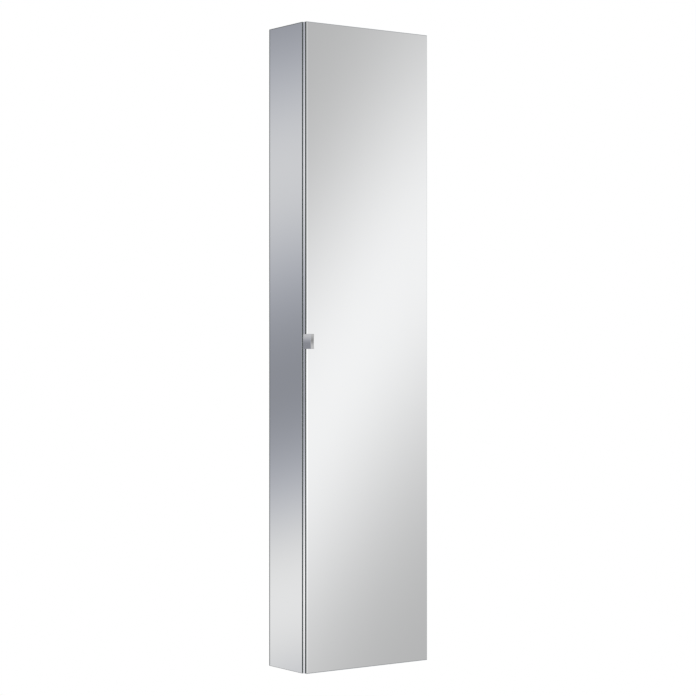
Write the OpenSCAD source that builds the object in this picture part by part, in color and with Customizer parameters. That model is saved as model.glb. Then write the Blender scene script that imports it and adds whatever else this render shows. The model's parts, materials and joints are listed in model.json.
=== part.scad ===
// Tall wall-hung mirror cabinet. Its sides and its one door are mirrors, and it
// has glass shelves inside. It hangs by two hooks on a rail behind the back panel.
// X runs to the right, Y towards the wall and Z up. The origin lies on the wall,
// midway between the two wall screws of the rail.

/* [Cabinet] */
// Width over the side mirrors
cab_w = 400; // [340:5:500]
// Height
cab_h = 1700; // [1500:10:1900]
// Depth from the wall to the front of the door
cab_d = 174.5; // [168:0.5:240]
// Thickness of the carcass boards
board_t = 15; // [15:0.5:18]
// Thickness of the side mirrors
side_mirror_t = 4; // [3:0.5:5]
// Thickness of the back panel
back_t = 6; // [4:0.5:8]
// Depth of the recess behind the back panel
recess_d = 22; // [20:1:28]
// Depth of the grooves that hold the back panel
groove_d = 5; // [3:0.5:6]
// Clearance of the back panel in its grooves
groove_clear = 0.15; // [0.1:0.05:0.3]

/* [Door] */
// Gap between the carcass and the door
door_gap = 4.5; // [3.8:0.1:5.5]
// Thickness of the front mirror
door_mirror_t = 4; // [3:0.5:5]
// Thickness of the core board
core_t = 8; // [8:0.5:10]
// Thickness of the inner mirror
inner_mirror_t = 3; // [3:0.5:4]
// How far the door's edges stand back from the cabinet's
door_reveal = 1; // [0.5:0.1:1.5]
// Thickness of the aluminium edge strips
edge_t = 2.5; // [2:0.1:3]
// Depth of the dark gasket between the edge strips and the front mirror
gasket_t = 3.5; // [2.5:0.1:4]
// How far the gasket stands back from the door's edges
gasket_in = 0.5; // [0.3:0.1:0.8]
// Clearance around the inner mirror and the hinge inserts
glass_clear = 0.3; // [0.2:0.05:0.5]
// Length of each leg of the corner keys
key_l = 25; // [15:1:40]
// Thickness of the corner keys
key_t = 1.5; // [1:0.1:2]
// Width of the corner keys
key_w = 4; // [3:0.1:4.2]
// Diameter of the door bumpers
bumper_d = 8; // [6:0.5:9]
// Gap that the bumpers and the dust seal leave
touch_gap = 0.3; // [0.2:0.05:0.5]
// Gap between the dust seal and the bumpers
bumper_off = 1.5; // [1:0.1:2]
// Distance of the bumpers from the door's top and bottom
bumper_end = 60; // [30:1:150]
// Width of the dust seal
seal_w = 2.4; // [2:0.1:3]
// Distance of the dust seal from the board's outer face
seal_in = 1; // [0.5:0.1:1.5]
// Distance of the dust seal's ends from the cabinet's ends
seal_end = 10; // [4:1:30]

/* [Handle] */
// Height of the handle
handle_h = 39; // [30:0.5:60]
// Width of the handle
handle_w = 11; // [6:0.5:14]
// How far the handle stands in front of the door
handle_reach = 22.5; // [18:0.5:40]
// Thickness of the handle's foot on the door's edge
foot_t = 1.5; // [1.2:0.1:3]
// How far the foot reaches behind the door's front
foot_d = 14.5; // [8.5:0.1:14.8]
// Height of the handle's middle above the cabinet's middle
handle_up = 16; // [-60:1:60]
// Radius of the hollow in the handle's front
scoop_r = 120; // [60:5:200]
// Depth of the hollow in the handle's front
scoop_d = 1.5; // [1:0.5:5]
// Diameter of the handle screws
handle_screw_d = 2.2; // [1.8:0.1:2.6]
// Head diameter of the handle screws
handle_head_d = 4.4; // [3.6:0.1:5]
// Length of the handle screws
handle_screw_l = 14; // [8:0.5:18]
// Distance of the handle screws' heads from the front mirror
handle_screw_off = 0.4; // [0.2:0.1:0.8]
// Spacing of the handle screws
handle_screw_gap = 26; // [14:1:26]

/* [Shelves] */
// Number of glass shelves, which the list of nodes names one by one
shelf_n = 5; // [5:1:5]
// Thickness of the glass shelves
shelf_t = 6; // [5:0.5:8]
// Gap between a shelf and the side boards
shelf_side = 1; // [0.5:0.1:2]
// Gap between a shelf and the back panel
shelf_back = 1.5; // [1:0.1:3]
// How far the shelves stand back from the carcass's front
shelf_front = 12; // [8:1:30]
// Length of a shelf support's tongue
support_l = 10; // [7:0.5:14]
// Width of a shelf support
support_w = 8; // [6:0.5:12]
// Height of a shelf support
support_h = 5; // [5:0.5:8]
// Diameter of the shelf-pin holes
pin_hole_d = 5; // [4.5:0.1:5]
// Radial clearance of pins, bolts and screws in their holes
hole_clear = 0.05; // [0.02:0.01:0.1]
// Depth of the shelf-pin holes
pin_hole_l = 10; // [8:0.5:12]
// Distance from a pin hole to the next one above it
pin_pitch = 32; // [25:1:40]
// Distance of the front pin row from the carcass's front
row_front = 37; // [37:1:45]
// Distance of the rear pin row from the back panel
row_rear = 26; // [20:1:32]

/* [Hinges] */
// Distance of the outer hinges from the cabinet's ends
hinge_end = 120; // [100:1:125]
// Distance of the pin from the door's hinged edge
pin_in = 7; // [6.8:0.1:7.2]
// Diameter of the hinge pin
pin_d = 3; // [2.5:0.1:3]
// Radial clearance of the arm on the pin
pin_clear = 0.05; // [0.03:0.01:0.1]
// Diameter of the cup's bore in the door
cup_bore_d = 35; // [35:0.1:36]
// Distance of that bore from the door's hinged edge
cup_edge = 3; // [2.8:0.1:3.2]
// Wall of the cup
cup_wall = 0.9; // [0.7:0.1:1]
// Floor of the cup
cup_floor = 0.5; // [0.4:0.1:0.6]
// Clearance of the cup in its bore
cup_clear = 0.1; // [0.05:0.05:0.2]
// Thickness of the cup's flange
flange_t = 1.2; // [1:0.1:1.3]
// How far the flange laps over the bore's edge
flange_lap = 1; // [0.6:0.1:1.2]
// Spacing of the cup screws
cup_screw_gap = 45; // [45:0.5:48]
// Distance of the cup screws from the middle of the cup
cup_screw_in = 9.5; // [8:0.5:10]
// Width of the flange's wings
cup_wing_w = 12; // [10:0.5:14]
// How far the wings stop short of the insert's ends
cup_wing_gap = 2; // [1:0.5:4]
// Diameter of the cup screws
cup_screw_d = 3; // [2.5:0.1:3.5]
// Head diameter of the cup screws
cup_head_d = 6; // [5:0.5:7]
// Head height of the cup screws
cup_head_h = 1; // [0.8:0.1:1.4]
// Length of the cup screws below their heads
cup_screw_l = 9; // [6:0.5:9]
// Width of the hinge insert, from the edge strip inwards
insert_w = 42.5; // [40:0.5:50]
// Height of the hinge insert
insert_h = 66; // [62:1:80]
// Outer diameter of the arm's eye
eye_d = 5; // [4.6:0.1:5]
// Width of the arm's neck and eye
neck_w = 8; // [7:0.1:8]
// Thickness of the arm's neck
neck_t = 2.8; // [2.2:0.1:2.8]
// Height of the neck's inner face above the pin's axis
neck_up = 0.6; // [0.3:0.1:0.6]
// Gap between the neck and the side board
neck_gap = 0.8; // [0.5:0.1:1]
// Gap between the neck and the lugs that hold the pin
lug_gap = 0.3; // [0.2:0.05:0.4]
// Thickness of the lugs
lug_t = 3; // [2:0.1:3]
// How far the lugs reach past the pin's axis
lug_past = 3.5; // [3:0.1:4]
// How far the lugs rise above the pin's axis
lug_over = 3; // [2.5:0.1:3.5]
// How far the pin stands out of the lugs
pin_over = 0.5; // [0.2:0.1:0.8]
// Width of the arm's channel
arm_w = 14; // [12.5:0.5:14]
// Wall of the arm's channel
arm_wall = 2; // [1.5:0.1:2.2]
// Thickness of the web that joins the neck to the channel
web_t = 3; // [2:0.1:3.5]
// Gap between the channel's flanges and the mounting plate
flange_gap = 0.7; // [0.4:0.1:1]
// Length of the arm inside the carcass
arm_l = 62; // [58:1:70]
// Distance of the arm's channel from the carcass's front
arm_in = 6; // [5:0.5:8]
// Thickness of the mounting plate
plate_t = 2.5; // [2:0.1:3]
// Width of the mounting plate between its wings
plate_w = 18; // [16:0.5:20]
// Height of the rib on the mounting plate
rib_h = 4.5; // [4:0.1:6]
// Width of the rib
rib_w = 9; // [8:0.1:9]
// Distance of the arm screws from the plate's ends
arm_screw_in = 8; // [7:0.5:10]
// Length of the mounting plate
plate_l = 40; // [36:1:44]
// Distance of the mounting plate from the carcass's front
plate_in = 18; // [14:1:18]
// Height of the mounting plate over its wings
plate_h = 48; // [44:1:52]
// Width of the plate's wings
wing_w = 12; // [10:0.5:14]
// Spacing of the plate screws
plate_screw_gap = 32; // [30:1:36]
// Diameter of the plate and arm screws
plate_screw_d = 4.4; // [4:0.1:4.6]
// Head diameter of the plate and arm screws
plate_head_d = 7.5; // [7:0.1:8]
// Head height of the plate and arm screws
plate_head_h = 1.8; // [1.2:0.1:2]
// Depth of the plate screws in the side board
plate_screw_l = 11; // [8:0.5:13]

/* [Board joints] */
// Diameter of the cam discs
cam_d = 15; // [14:0.5:16]
// Depth of the cam discs
cam_h = 12.5; // [11:0.5:13]
// Clearance of the cam discs in their holes
cam_clear = 0.1; // [0.05:0.05:0.2]
// Length of the driver cross in a cam disc
cross_l = 8; // [6:0.5:9]
// Width and depth of the driver cross
cross_w = 1.2; // [0.8:0.1:1.6]
// Distance of the cam discs from the side boards
cam_in = 34; // [30:1:40]
// Shaft diameter of the cam bolts
bolt_d = 6; // [5:0.5:6.5]
// Head diameter of the cam bolts
bolt_head_d = 7; // [6.5:0.5:7.5]
// Length of the head, and of the neck behind it
bolt_head_l = 3; // [2:0.5:4]
// Neck diameter of the cam bolts
bolt_neck_d = 4; // [3:0.5:4.5]
// Clearance around the bolt's head
bolt_room = 0.3; // [0.2:0.1:0.5]
// Thread diameter of the cam bolts
bolt_thread_d = 5; // [4:0.5:6]
// Thread length of the cam bolts
bolt_thread_l = 11; // [8:0.5:12]
// Diameter of the dowels
dowel_d = 8; // [6:0.5:8]
// Length of the dowels
dowel_l = 30; // [25:1:35]
// Depth of the dowels in the side boards
dowel_in = 12; // [8:0.5:12.5]
// Distance of the front cams from the carcass's front
cam_front = 40; // [30:1:40]
// Distance of the rear cams from the back panel
cam_rear = 12; // [10:1:16]
// Distance from a cam to the dowel beside it
dowel_off = 25; // [20:1:25]

/* [Wall hanging] */
// Spacing of the rail's wall screws
rail_screw_gap = 256; // [160:1:280]
// Diameter of the rail's screw holes
rail_hole_d = 6.5; // [5:0.1:8]
// Thickness of the rail's steel
rail_t = 2; // [1.5:0.1:2.5]
// Height of the rail's foot below the screws
rail_down = 20; // [14:1:30]
// Height of the rail's shoulder above the screws
rail_up = 12; // [10:0.5:14]
// Height of the rail's lip above the screws
lip_up = 24; // [20:0.5:26]
// How far the rail stands out from the wall
rail_out = 12; // [11:0.5:14]
// Gap between the rail's ends and the side boards
rail_side = 2; // [1:0.5:4]
// Width of the hooks
hook_w = 10; // [8:0.5:10]
// Thickness of the hooks
hook_t = 3; // [2:0.1:3]
// Gap between a hook and the side wall of its hanger
hook_side = 1; // [0.5:0.1:1.5]
// Distance of a hook's leg from the front wall of its hanger
hook_leg_in = 5; // [3:0.5:8]
// Gap at each end of a hook's leg
hook_leg_gap = 3; // [2:0.5:5]
// Gap between a hook's tip and the rail's lip
hook_gap = 0.4; // [0.3:0.1:0.8]
// How far a hook's tip reaches down behind the lip
hook_tip = 9; // [6:0.5:9]
// Width of a hanger's body
hanger_w = 16; // [15:0.5:18]
// Depth of a hanger's body
hanger_d = 48; // [44:1:52]
// Height of a hanger's body
hanger_h = 52; // [46:1:52]
// Height of a hanger's underside above the wall screws
hanger_up = 4; // [2:0.5:4]
// Wall of a hanger's body
hanger_wall = 3; // [2:0.1:3]
// Wall of a hanger's cover
cover_wall = 1.5; // [1:0.1:1.5]
// Gap between a hanger and its cover
cover_gap = 0.5; // [0.3:0.1:0.7]
// Gap between a hanger's cover and the top board
hanger_gap = 2; // [1:0.5:20]
// Diameter of the hanger screws
hanger_screw_d = 5; // [4:0.1:6]
// Length of the hanger screws below their heads
hanger_screw_l = 26; // [20:1:30]
// Head diameter of the hanger screws
hanger_head_d = 8.4; // [7:0.1:9]
// Width of the driver slot in the hanger screws
slot_w = 1.2; // [0.8:0.1:1.6]
// Depth of that slot
slot_d = 0.8; // [0.5:0.1:1.2]
// Gap around the screw heads in a hanger's cover
head_room = 1; // [0.5:0.1:2]
// Spacing of the hanger screws
hanger_screw_gap = 26; // [24:1:28]
// Diameter of the wall spacers
spacer_d = 18; // [12:0.5:24]
// Distance of the wall spacers from the side boards
spacer_side = 25; // [16:1:60]
// Height of the wall spacers above the bottom board
spacer_up = 40; // [16:1:90]
// Diameter of the lower wall-screw holes
low_hole_d = 6; // [4:0.1:8]
// Spacing of the lower wall-screw holes
low_hole_gap = 192; // [120:1:220]
// Height of the lower wall-screw holes above the bottom board
low_hole_up = 40; // [16:1:90]

/* [Hidden] */
$fn = 48;

// How far a cutter runs past the face that it cuts
cut = 1;
hinge_n = 4;

// Places across the width, for the right-hand side
half_w = cab_w / 2;
board_out = half_w - side_mirror_t;
board_in = board_out - board_t;
door_half = half_w - door_reveal;

// Hangers and rail, for the right-hand side
cover_off = cover_gap + cover_wall;
hanger_top = hanger_up + hanger_h;
hanger_mid = hanger_up + hanger_h / 2;
hanger_x = board_in - hanger_w;
hook_x = board_in - hanger_wall - hook_side - hook_w;
hook_mid = hook_x + hook_w / 2;
hook_rear = -(rail_out - rail_t) + hook_gap + hook_t;
hook_leg_h = hanger_h - 2 * (hanger_wall + hook_leg_gap);

// Places along the height. The top lies above the hangers, which hold the hooks
// at the rail's lip.
top_z = hanger_top + cover_off + hanger_gap + board_t;
bottom_z = top_z - cab_h;
mid_z = (top_z + bottom_z) / 2;
inner_top = top_z - board_t;
inner_bottom = bottom_z + board_t;
door_top = top_z - door_reveal;
door_bottom = bottom_z + door_reveal;

// Places along the depth, from the wall forwards
back_rear = -recess_d;
back_front = back_rear - back_t;
door_t = inner_mirror_t + core_t + door_mirror_t;
door_front = -cab_d;
door_rear = door_front + door_t;
carcass_front = door_rear + door_gap;
core_rear = door_rear - inner_mirror_t;
glass_rear = core_rear - core_t;
strip_front = glass_rear + gasket_t;
hanger_y = back_front - hanger_d;
hook_leg = hanger_y + hanger_wall + hook_leg_in;

// Shelves divide the inside into equal bays
bay_h = (inner_top - inner_bottom - shelf_n * shelf_t) / (shelf_n + 1);
function shelf_z(i) = inner_bottom + i * bay_h + (i - 1) * shelf_t;
support_rows = [carcass_front + row_front, back_front - row_rear];

// Board joints
cam_rows = [carcass_front + cam_front, back_front - cam_rear];
dowel_rows = [carcass_front + cam_front + dowel_off, back_front - cam_rear - dowel_off];

// Hinges, in a local frame: X from the door's hinged edge inwards, Y from the
// door's rear towards the wall
function hinge_z(i) = bottom_z + hinge_end + (i - 1) * (cab_h - 2 * hinge_end) / (hinge_n - 1);
pin_y = -door_t / 2;
insert_t = inner_mirror_t + core_t;
cup_x = cup_edge + cup_bore_d / 2;
cup_r = cup_bore_d / 2 - cup_clear;
cup_inner_r = cup_r - cup_wall;
cup_depth = insert_t - cup_clear;
cup_screw_x = cup_x + cup_screw_in;
wing_x = cup_screw_x - cup_wing_w / 2;
wing_z = insert_h / 2 - cup_wing_gap;
board_x = door_half - board_in;
neck_x = board_x + neck_gap;
neck_y = pin_y + neck_up;
plate_x = board_x + plate_t;
rib_x = plate_x + rib_h;
arm_x = rib_x + arm_wall;
arm_y = door_gap + arm_in;
plate_y = door_gap + plate_in;
plate_screw_y = door_gap + row_front;
arm_screw_ys = [plate_y + arm_screw_in, plate_y + plate_l - arm_screw_in];
lug_in = neck_w / 2 + lug_gap;
lug_out = lug_in + lug_t;

// Handle, on the door's free edge
handle_x = -door_half - foot_t;
handle_z = mid_z + handle_up;
handle_screw_y = glass_rear + handle_head_d / 2 + handle_screw_off;
handle_head_h = (handle_head_d - handle_screw_d) / 2;

// Box between two opposite corners
module block(low, high) {
    translate(low) cube(high - low);
}

// Round bar along X, from x0 to x1
module rod_x(d, x0, x1, y, z) {
    translate([x0, y, z]) rotate([0, 90, 0]) cylinder(d = d, h = x1 - x0);
}

// Round bar along Y, from y0 to y1
module rod_y(d, y0, y1, x, z) {
    translate([x, y0, z]) rotate([-90, 0, 0]) cylinder(d = d, h = y1 - y0);
}

// Round bar along Z, from z0 to z1
module rod_z(d, z0, z1, x, y) {
    translate([x, y, z0]) cylinder(d = d, h = z1 - z0);
}

// Turns a right-hand shape into a left-hand one where side is -1
module sided(side) {
    mirror([side < 0 ? 1 : 0, 0, 0]) children();
}

// Inner corners of the carcass, with X and Z pointing outwards from each
module at_corners(sides, ups) {
    for (side = sides, up = ups)
        translate([side * board_in, 0, up > 0 ? inner_top : inner_bottom])
            mirror([side < 0 ? 1 : 0, 0, 0]) mirror([0, 0, up < 0 ? 1 : 0]) children();
}

// Local frame of hinge i
module at_hinge(i) {
    translate([door_half, door_rear, hinge_z(i)]) mirror([1, 0, 0]) children();
}

// Space of the back panel, with a clearance around it
module back_space(clear) {
    reach = groove_d + clear;
    block([-board_in - reach + groove_clear, back_front - clear, inner_bottom - reach + groove_clear],
          [board_in + reach - groove_clear, back_rear + clear, inner_top + reach - groove_clear]);
}

// Holes of the board joints at one corner
module joint_holes() {
    for (y = cam_rows) {
        rod_z(cam_d, -cut, cam_h, -cam_in, y);
        rod_x(bolt_head_d + 2 * bolt_room, -cam_in, 0, y, board_t / 2);
        rod_x(bolt_thread_d, -cut, bolt_thread_l + cut, y, board_t / 2);
    }
    for (y = dowel_rows)
        rod_x(dowel_d + 2 * hole_clear, dowel_in - dowel_l - cut, dowel_in + hole_clear, y, board_t / 2);
}

module side_board(side) {
    color("whitesmoke") difference() {
        sided(side) block([board_in, carcass_front, bottom_z], [board_out, 0, top_z]);
        back_space(groove_clear);
        at_corners([side], [-1, 1]) joint_holes();
        sided(side) for (i = [1:shelf_n], k = [-1:1], y = support_rows)
            rod_x(pin_hole_d, board_in - cut, board_in + pin_hole_l, y,
                  shelf_z(i) - support_h / 2 + k * pin_pitch);
        if (side > 0) for (i = [1:hinge_n]) at_hinge(i) for (z = [-1, 1] * plate_screw_gap / 2)
            rod_x(plate_screw_d + 2 * hole_clear, board_x - plate_screw_l - hole_clear, board_x + cut,
                  plate_screw_y, z);
    }
}

module top_board() {
    color("whitesmoke") difference() {
        block([-board_in, carcass_front, inner_top], [board_in, 0, top_z]);
        back_space(groove_clear);
        at_corners([-1, 1], [1]) joint_holes();
    }
}

module bottom_board() {
    color("whitesmoke") difference() {
        block([-board_in, carcass_front, bottom_z], [board_in, 0, inner_bottom]);
        back_space(groove_clear);
        at_corners([-1, 1], [-1]) joint_holes();
    }
}

module back_panel() {
    slot_low = lip_up - hook_tip - cut;
    color("white") difference() {
        back_space(0);
        for (side = [-1, 1]) {
            sided(side) block([hook_x - cut, back_front - cut, slot_low],
                              [hook_x + hook_w + cut, back_rear + cut, lip_up + hook_t + cut]);
            rod_y(low_hole_d, back_front - cut, back_rear + cut, side * low_hole_gap / 2,
                  inner_bottom + low_hole_up);
        }
    }
}

module side_mirror(side) {
    color("lightsteelblue") sided(side)
        block([board_out, carcass_front, bottom_z], [half_w, 0, top_z]);
}

module glass_shelf(i) {
    x = board_in - shelf_side;
    color("paleturquoise") block([-x, carcass_front + shelf_front, shelf_z(i)],
                                 [x, back_front - shelf_back, shelf_z(i) + shelf_t]);
}

module shelf_supports() {
    color("silver") for (side = [-1, 1], i = [1:shelf_n], y = support_rows) sided(side) {
        block([board_in - support_l, y - support_w / 2, shelf_z(i) - support_h],
              [board_in, y + support_w / 2, shelf_z(i)]);
        rod_x(pin_hole_d - 2 * hole_clear, board_in, board_in + pin_hole_l - cut, y,
              shelf_z(i) - support_h / 2);
    }
}

// A cam disc has a channel for the bolt's head and a cross for the driver
module cam_disc() {
    channel = bolt_head_d + 2 * bolt_room;
    difference() {
        rod_z(cam_d - 2 * cam_clear, 0, cam_h, 0, 0);
        block([-bolt_head_d / 2, -channel / 2, (board_t - channel) / 2],
              [cam_d, channel / 2, (board_t + channel) / 2]);
        block([-cross_l / 2, -cross_w / 2, -cut], [cross_l / 2, cross_w / 2, cross_w]);
        block([-cross_w / 2, -cross_l / 2, -cut], [cross_w / 2, cross_l / 2, cross_w]);
    }
}

module cam_discs() {
    color("silver") at_corners([-1, 1], [-1, 1])
        for (y = cam_rows) translate([-cam_in, y, 0]) cam_disc();
}

module cam_bolts() {
    color("silver") at_corners([-1, 1], [-1, 1]) for (y = cam_rows) {
        rod_x(bolt_head_d, -cam_in, bolt_head_l - cam_in, y, board_t / 2);
        rod_x(bolt_neck_d, bolt_head_l - cam_in, 2 * bolt_head_l - cam_in, y, board_t / 2);
        rod_x(bolt_d, 2 * bolt_head_l - cam_in, 0, y, board_t / 2);
        rod_x(bolt_thread_d - 2 * hole_clear, 0, bolt_thread_l, y, board_t / 2);
    }
}

module wood_dowels() {
    color("burlywood") at_corners([-1, 1], [-1, 1])
        for (y = dowel_rows) rod_x(dowel_d, dowel_in - dowel_l, dowel_in, y, board_t / 2);
}

// Screw places of the hangers
module at_hanger_screws() {
    for (z = [-1, 1] * hanger_screw_gap / 2) translate([hook_mid, hanger_y, hanger_mid + z]) children();
}

module hanger_body(side) {
    color("silver") sided(side) difference() {
        block([hanger_x, hanger_y, hanger_up], [board_in, back_front, hanger_top]);
        block([hanger_x - cut, hanger_y + hanger_wall, hanger_up + hanger_wall],
              [board_in - hanger_wall, back_front - hanger_wall, hanger_top - hanger_wall]);
        block([hook_x - hook_gap, back_front - hanger_wall - cut, lip_up - hook_gap],
              [hook_x + hook_w + hook_gap, back_front + cut, lip_up + hook_t + hook_gap]);
        at_hanger_screws() rod_y(hanger_screw_d + 2 * hole_clear, -cut, hanger_wall + cut, 0, 0);
    }
}

// A hook has a bar, a tip behind the rail's lip and a leg that its screws pull
module hanger_hook(side) {
    color("gainsboro") sided(side) difference() {
        union() {
            block([hook_x, hook_leg, lip_up], [hook_x + hook_w, hook_rear, lip_up + hook_t]);
            block([hook_x, hook_rear - hook_t, lip_up - hook_tip],
                  [hook_x + hook_w, hook_rear, lip_up + hook_t]);
            block([hook_x, hook_leg, hanger_mid - hook_leg_h / 2],
                  [hook_x + hook_w, hook_leg + hook_t, hanger_mid + hook_leg_h / 2]);
        }
        at_hanger_screws() rod_y(hanger_screw_d + 2 * hole_clear, 0, hanger_d, 0, 0);
    }
}

module hanger_cover(side) {
    color("white") sided(side) difference() {
        block([hanger_x - cover_off, hanger_y - cover_off, hanger_up - cover_off],
              [board_in, back_front, hanger_top + cover_off]);
        block([hanger_x - cover_gap, hanger_y - cover_gap, hanger_up - cover_gap],
              [board_in + cut, back_front + cut, hanger_top + cover_gap]);
        at_hanger_screws() rod_y(hanger_head_d + 2 * head_room, -cover_off - cut, 0, 0, 0);
    }
}

module hanger_screws() {
    color("gray") for (side = [-1, 1]) sided(side) at_hanger_screws() {
        difference() {
            rod_y(hanger_head_d, -cover_off, 0, 0, 0);
            block([-slot_w / 2, -cover_off - cut, -hanger_head_d],
                  [slot_w / 2, slot_d - cover_off, hanger_head_d]);
        }
        rod_y(hanger_screw_d, 0, hanger_screw_l, 0, 0);
    }
}

// The rail's foot lies on the wall, its shoulder steps forward and its lip stands up
module wall_rail() {
    x = board_in - rail_side;
    color("gainsboro") difference() {
        union() {
            block([-x, -rail_t, -rail_down], [x, 0, rail_up]);
            block([-x, -rail_out, rail_up - rail_t], [x, 0, rail_up]);
            block([-x, -rail_out, rail_up - rail_t], [x, rail_t - rail_out, lip_up]);
        }
        for (side = [-1, 1]) rod_y(rail_hole_d, -rail_t - cut, cut, side * rail_screw_gap / 2, 0);
    }
}

module wall_spacers() {
    color("dimgray") for (side = [-1, 1])
        rod_y(spacer_d, back_rear, 0, side * (board_in - spacer_side), inner_bottom + spacer_up);
}

module dust_seal() {
    x = -board_out + seal_in;
    color("black") block([x, door_rear + touch_gap, bottom_z + seal_end],
                         [x + seal_w, carcass_front, top_z - seal_end]);
}

module hinge_plate(i) {
    color("silver") at_hinge(i) difference() {
        union() {
            block([board_x, plate_y, -plate_w / 2], [plate_x, plate_y + plate_l, plate_w / 2]);
            block([board_x, plate_screw_y - wing_w / 2, -plate_h / 2],
                  [plate_x, plate_screw_y + wing_w / 2, plate_h / 2]);
            block([board_x, plate_y, -rib_w / 2], [rib_x, plate_y + plate_l, rib_w / 2]);
        }
        for (z = [-1, 1] * plate_screw_gap / 2)
            rod_x(plate_screw_d + 2 * hole_clear, board_x - cut, plate_x + cut, plate_screw_y, z);
        for (y = arm_screw_ys) rod_x(plate_screw_d + 2 * hole_clear, plate_x, rib_x + cut, y, 0);
    }
}

// An arm turns on the pin at its eye. Its neck runs inwards inside the cup and
// back past the side board, and ends in a channel over the mounting plate.
module hinge_arm(i) {
    low = neck_y - neck_t;
    flange_x = plate_x + flange_gap;
    color("gainsboro") at_hinge(i) difference() {
        union() {
            rod_z(eye_d, -neck_w / 2, neck_w / 2, pin_in, pin_y);
            block([pin_in, low, -neck_w / 2], [neck_x + neck_t, neck_y, neck_w / 2]);
            block([neck_x, low, -neck_w / 2], [neck_x + neck_t, arm_y + web_t, neck_w / 2]);
            block([neck_x, arm_y, -neck_w / 2], [arm_x, arm_y + web_t, neck_w / 2]);
            difference() {
                block([flange_x, arm_y, -arm_w / 2], [arm_x, door_gap + arm_l, arm_w / 2]);
                block([0, arm_y + web_t, arm_wall - arm_w / 2],
                      [rib_x, door_gap + arm_l + cut, arm_w / 2 - arm_wall]);
            }
        }
        rod_z(pin_d + 2 * pin_clear, -neck_w, neck_w, pin_in, pin_y);
        for (y = arm_screw_ys) rod_x(plate_screw_d + 2 * hole_clear, rib_x - cut, arm_x + cut, y, 0);
    }
}

module hinge_plate_screws() {
    color("gray") for (i = [1:hinge_n]) at_hinge(i) for (z = [-1, 1] * plate_screw_gap / 2) {
        rod_x(plate_head_d, plate_x, plate_x + plate_head_h, plate_screw_y, z);
        rod_x(plate_screw_d, board_x - plate_screw_l, plate_x, plate_screw_y, z);
    }
}

module hinge_arm_screws() {
    color("gray") for (i = [1:hinge_n], y = arm_screw_ys) at_hinge(i) {
        rod_x(plate_head_d, arm_x, arm_x + plate_head_h, y, 0);
        rod_x(plate_screw_d, plate_x + cut, arm_x, y, 0);
    }
}

module door_mirror() {
    color("lightsteelblue")
        block([-door_half, door_front, door_bottom], [door_half, glass_rear, door_top]);
}

// Space of one hinge insert, with a clearance around it
module insert_space(clear) {
    block([edge_t - clear, -insert_t - clear, -insert_h / 2 - clear],
          [edge_t + insert_w + clear, clear, insert_h / 2 + clear]);
}

module door_inner_mirror() {
    x = door_half - edge_t - glass_clear;
    color("lightsteelblue") difference() {
        block([-x, core_rear, door_bottom + edge_t + glass_clear],
              [x, door_rear, door_top - edge_t - glass_clear]);
        for (i = [1:hinge_n]) at_hinge(i) insert_space(glass_clear);
    }
}

// Space of the four corner keys, with a clearance around them
module key_spaces(clear) {
    y = (core_rear + strip_front - key_w) / 2;
    x = door_half - edge_t;
    for (side = [-1, 1], up = [-1, 1])
        translate([side * x, y, up > 0 ? door_top - edge_t : door_bottom + edge_t])
            mirror([side > 0 ? 1 : 0, 0, 0]) mirror([0, 0, up > 0 ? 1 : 0]) {
                block([0, -clear, 0], [key_l + clear, key_w + clear, key_t + clear]);
                block([0, -clear, 0], [key_t + clear, key_w + clear, key_l + clear]);
            }
}

module door_core() {
    x = door_half - edge_t;
    color("burlywood") difference() {
        block([-x, glass_rear, door_bottom + edge_t], [x, core_rear, door_top - edge_t]);
        for (i = [1:hinge_n]) at_hinge(i) insert_space(glass_clear);
        key_spaces(glass_clear);
        at_handle_screws() rod_x(handle_screw_d + 2 * hole_clear, 0, handle_screw_l + cut, 0, 0);
    }
}

module door_edge_side(side) {
    color("silver") difference() {
        sided(side) block([door_half - edge_t, strip_front, door_bottom], [door_half, door_rear, door_top]);
        at_handle_screws() rod_x(handle_screw_d + 2 * hole_clear, 0, handle_screw_l, 0, 0);
    }
}

module door_edge_end(low) {
    x = door_half - edge_t;
    color("silver") block([-x, strip_front, low], [x, door_rear, low + edge_t]);
}

// The gasket runs round the core between the edge strips and the front mirror
module mirror_gasket() {
    x = door_half - gasket_in;
    core_x = door_half - edge_t;
    color("black") difference() {
        block([-x, glass_rear, door_bottom + gasket_in], [x, strip_front, door_top - gasket_in]);
        block([-core_x, glass_rear - cut, door_bottom + edge_t],
              [core_x, strip_front + cut, door_top - edge_t]);
        at_handle_screws() rod_x(handle_screw_d + 2 * hole_clear, 0, handle_screw_l, 0, 0);
    }
}

module corner_keys() {
    color("gray") key_spaces(0);
}

module hinge_insert(i) {
    color("lightgray") at_hinge(i) difference() {
        insert_space(0);
        rod_y(cup_bore_d, -insert_t - cut, cut, cup_x, 0);
        for (z = [-1, 1] * cup_screw_gap / 2)
            rod_y(cup_screw_d + 2 * hole_clear, -cup_screw_l - hole_clear, cut, cup_screw_x, z);
    }
}

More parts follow.
